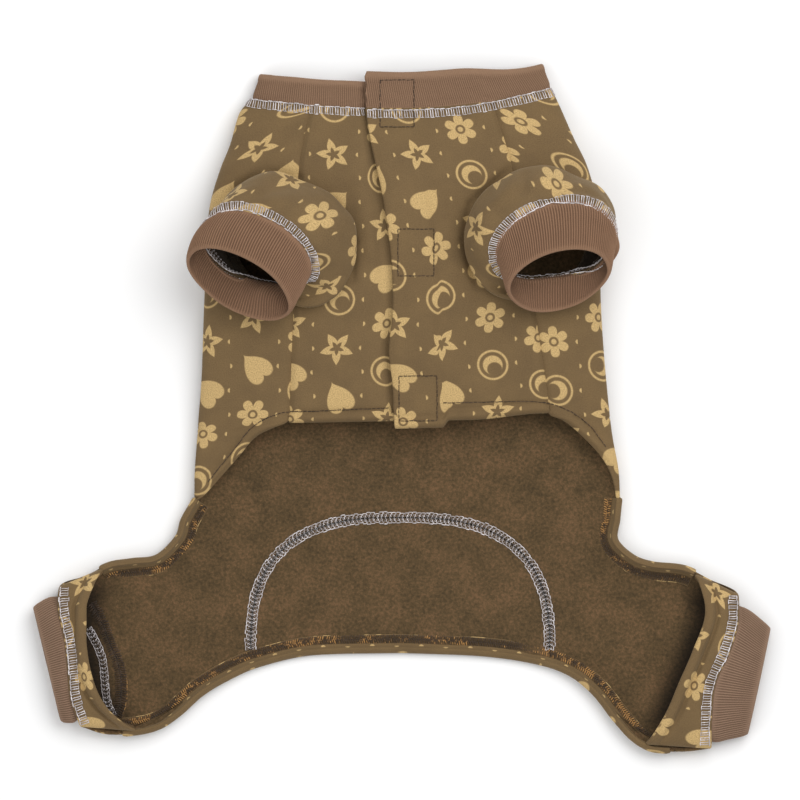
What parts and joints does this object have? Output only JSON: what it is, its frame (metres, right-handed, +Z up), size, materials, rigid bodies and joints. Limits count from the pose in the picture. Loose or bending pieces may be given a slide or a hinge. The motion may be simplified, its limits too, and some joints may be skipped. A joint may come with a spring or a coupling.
{
  "type": "dog jumpsuit",
  "caption": "Printed fleece dog jumpsuit lying belly up: ribbed collar and cuffs, sleeves, hind legs, belly flap and open rear",
  "frame": {"origin": "middle of the footprint, on the surface that the garment lies on", "axes": "+Z up out of the surface, +Y towards the neck, +X to the right with the belly up and the neck away from the viewer"},
  "size_m": [0.4048, 0.377, 0.0691],
  "materials": {
    "printed_fleece": "brown brushed fleece, printed outside with pale gold motifs",
    "rib_knit": "fine ribbed knit, dusty brown",
    "hook_tape": "woven hook-and-loop tape, dark brown",
    "seam_thread": "matt spun thread, pale grey",
    "overlock_thread": "matt spun thread, dark brown"
  },
  "bodies": {
    "root": {"back_panel": "printed_fleece", "rump_panel": "printed_fleece", "chest_panel_left": "printed_fleece", "chest_panel_right": "printed_fleece", "collar_rib": "rib_knit", "front_sleeve_left": "printed_fleece", "front_sleeve_right": "printed_fleece", "front_cuff_left": "rib_knit", "front_cuff_right": "rib_knit", "hind_leg_front_left": "printed_fleece", "hind_leg_front_right": "printed_fleece", "hind_cuff_left": "rib_knit", "hind_cuff_right": "rib_knit", "side_hem_left": "printed_fleece", "side_hem_right": "printed_fleece", "tail_hem": "printed_fleece", "hook_patch_upper": "hook_tape", "hook_patch_middle": "hook_tape", "hook_patch_lower": "hook_tape"}
  },
  "joints": []
}
